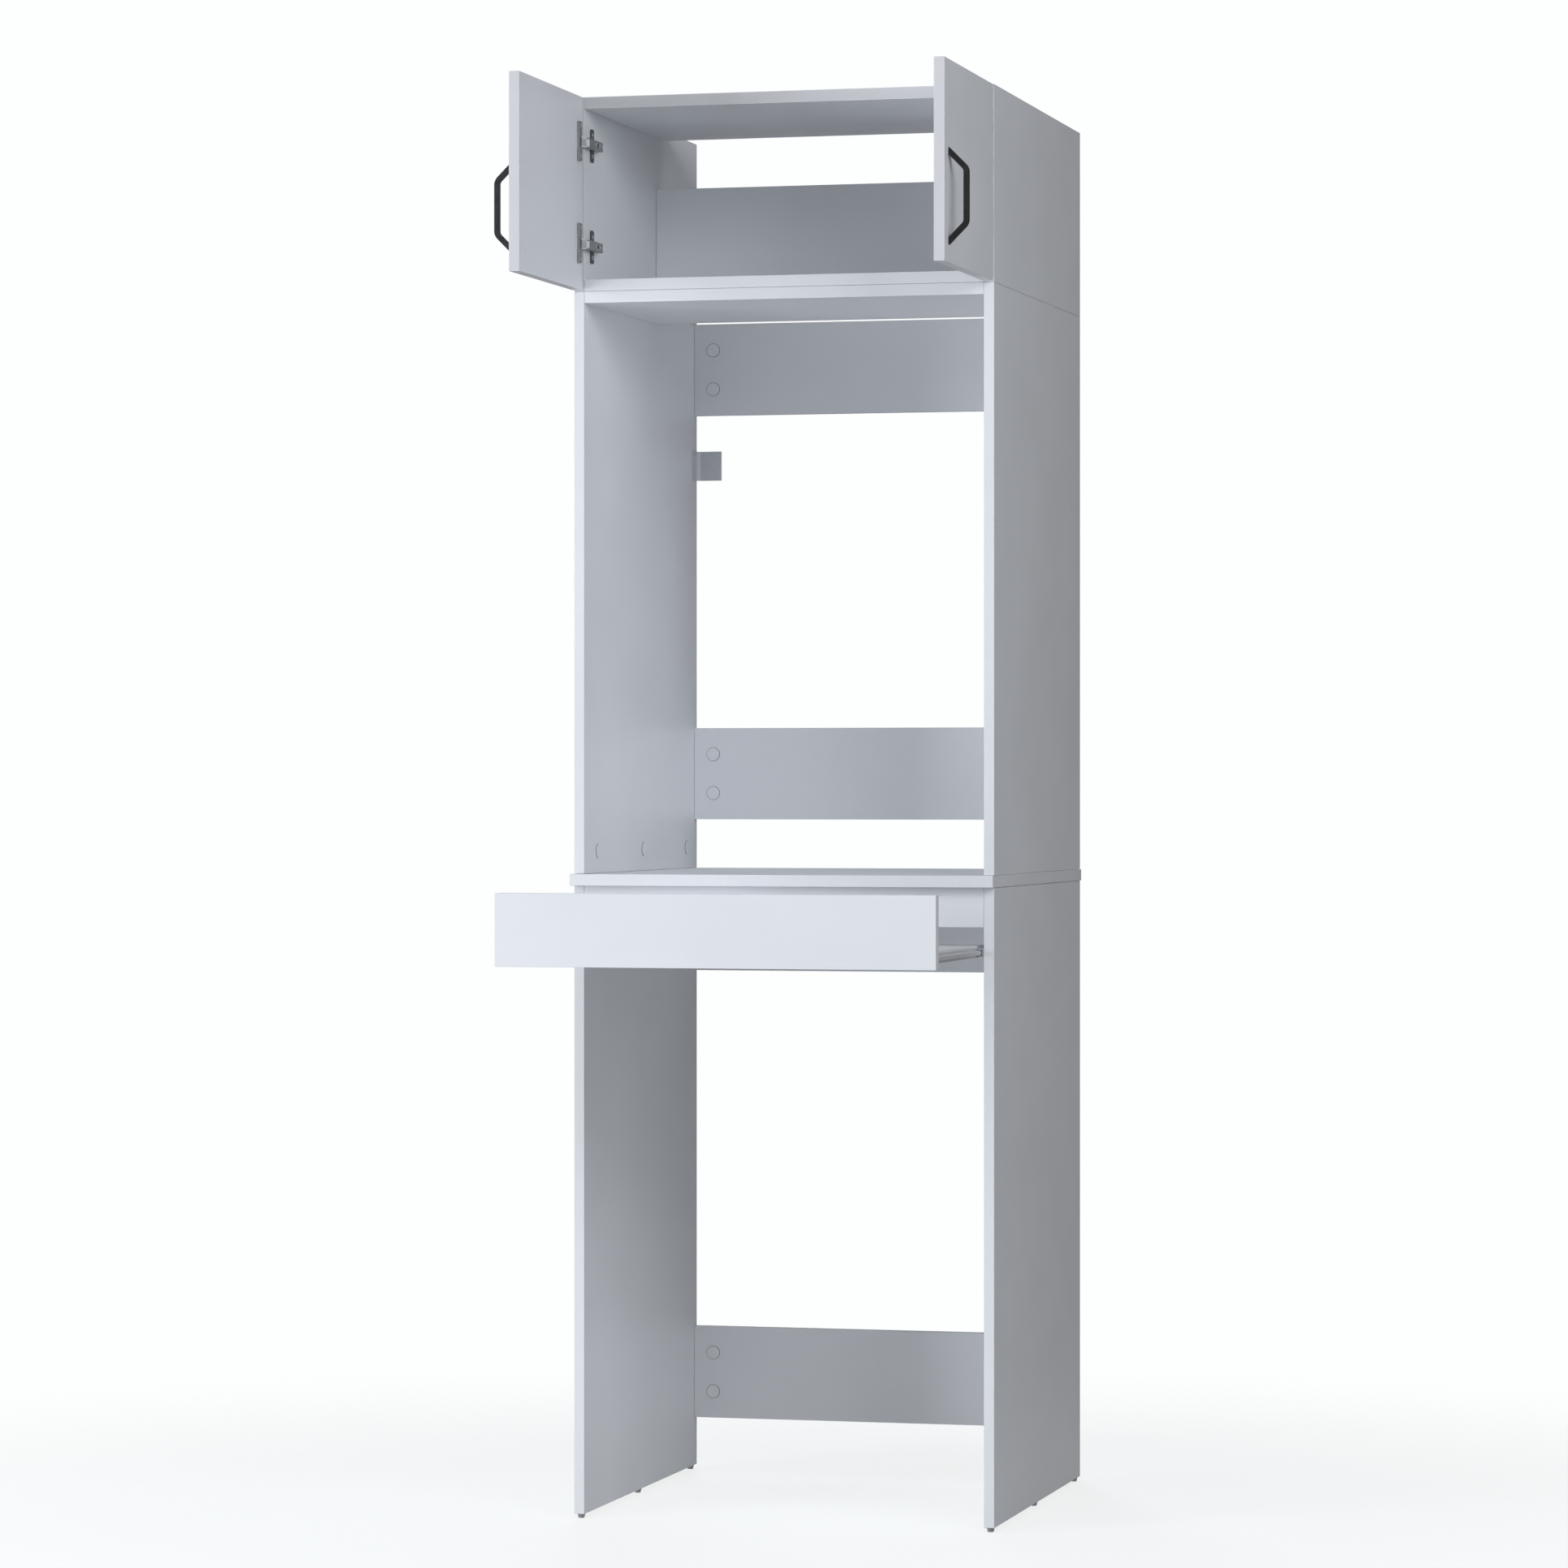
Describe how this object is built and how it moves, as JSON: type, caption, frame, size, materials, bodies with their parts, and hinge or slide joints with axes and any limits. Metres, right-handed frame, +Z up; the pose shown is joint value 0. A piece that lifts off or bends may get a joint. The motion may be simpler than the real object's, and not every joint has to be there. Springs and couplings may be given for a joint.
{
  "type": "washing machine cabinet",
  "caption": "Tall white flat-pack cabinet that stands round a washing machine, with a worktop, a pull-out tray on ball runners and a cupboard with hinged doors on top",
  "frame": {"origin": "on the floor, at the middle of the bounding box in the rest pose, which is the picture's: doors open at a right angle, tray pulled out", "axes": "+Z up, -Y towards someone who stands in front of the cabinet, +X to their right"},
  "size_m": [0.721, 1.05, 2.1841],
  "materials": {
    "white_board": "white melamine film on chipboard, fine satin texture",
    "white_plastic": "satin",
    "grey_plastic": "satin",
    "zinc": "zinc-plated, dull",
    "bright_steel": "nickel-plated, bright",
    "black_lacquer": "satin black"
  },
  "bodies": {
    "carcass": {"lower_side_left": "white_board", "lower_side_right": "white_board", "lower_rear_rail": "white_board", "worktop_rear_rail": "white_board", "front_fascia": "white_board", "worktop": "white_board", "middle_side_left": "white_board", "middle_side_right": "white_board", "middle_top_board": "white_board", "middle_upper_rail": "white_board", "middle_lower_rail": "white_board", "cupboard_side_left": "white_board", "cupboard_side_right": "white_board", "cupboard_top_board": "white_board", "cupboard_bottom_board": "white_board", "cupboard_back_rail": "white_board", "foot_left_front": "grey_plastic", "foot_left_middle": "grey_plastic", "foot_left_rear": "grey_plastic", "foot_right_front": "grey_plastic", "foot_right_middle": "grey_plastic", "foot_right_rear": "grey_plastic", "slide_cabinet_left": "zinc", "slide_cabinet_right": "zinc", "wall_bracket_left": "zinc", "wall_bracket_right": "zinc", "hinge_plate_left_lower": "zinc", "hinge_plate_left_upper": "zinc", "hinge_plate_right_lower": "zinc", "hinge_plate_right_upper": "zinc", "hinge_arm_left_lower": "zinc", "hinge_arm_left_upper": "zinc", "hinge_arm_right_lower": "zinc", "hinge_arm_right_upper": "zinc"},
    "tray": {"tray_board": "white_board", "drawer_front": "white_board", "slide_tray_left": "zinc", "slide_tray_right": "zinc", "tray_cam_lock_left": "zinc", "tray_cam_lock_middle": "zinc", "tray_cam_lock_right": "zinc"},
    "ball_cage_left": {"ball_cage_left": "zinc"},
    "door_left": {"door_left": "white_board", "handle_left": "black_lacquer", "handle_screw_left_lower": "white_plastic", "handle_screw_left_upper": "white_plastic", "hinge_cup_left_lower": "zinc", "hinge_cup_left_upper": "zinc"},
    "hinge_links_left": {"hinge_link_left_lower": "bright_steel", "hinge_link_left_upper": "bright_steel"},
    "ball_cage_right": {"ball_cage_right": "zinc"},
    "door_right": {"door_right": "white_board", "handle_right": "black_lacquer", "handle_screw_right_lower": "white_plastic", "handle_screw_right_upper": "white_plastic", "hinge_cup_right_lower": "zinc", "hinge_cup_right_upper": "zinc"},
    "hinge_links_right": {"hinge_link_right_lower": "bright_steel", "hinge_link_right_upper": "bright_steel"}
  },
  "joints": [
    {"name": "tray_slide", "type": "slide", "parent": "carcass", "child": "tray", "axis": [0, 1, 0], "range_m": [0, 0.381]},
    {"name": "cage_left_slide", "type": "slide", "parent": "carcass", "child": "ball_cage_left", "axis": [0, 1, 0], "range_m": [0, 0.191]},
    {"name": "door_left_hinge", "type": "hinge", "parent": "carcass", "child": "door_left", "pos_m": [-0.325, -0.138, 2.0339], "axis": [0, 0, 1], "range_deg": [-15, 90]},
    {"name": "link_left_hinge", "type": "hinge", "parent": "carcass", "child": "hinge_links_left", "pos_m": [-0.3062, -0.1266, 2.0339], "axis": [0, 0, 1], "range_deg": [-30.2, 5.1]},
    {"name": "cage_right_slide", "type": "slide", "parent": "carcass", "child": "ball_cage_right", "axis": [0, 1, 0], "range_m": [0, 0.191]},
    {"name": "door_right_hinge", "type": "hinge", "parent": "carcass", "child": "door_right", "pos_m": [0.325, -0.138, 2.0339], "axis": [0, 0, 1], "range_deg": [-90, 15]},
    {"name": "link_right_hinge", "type": "hinge", "parent": "carcass", "child": "hinge_links_right", "pos_m": [0.3062, -0.1266, 2.0339], "axis": [0, 0, 1], "range_deg": [-5.1, 30.2]}
  ],
  "couplings": [
    {"joint": "cage_left_slide", "follows": "tray_slide", "ratio": 0.5},
    {"joint": "link_left_hinge", "follows": "door_left_hinge", "ratio": -0.334},
    {"joint": "cage_right_slide", "follows": "tray_slide", "ratio": 0.5},
    {"joint": "link_right_hinge", "follows": "door_right_hinge", "ratio": -0.334}
  ]
}
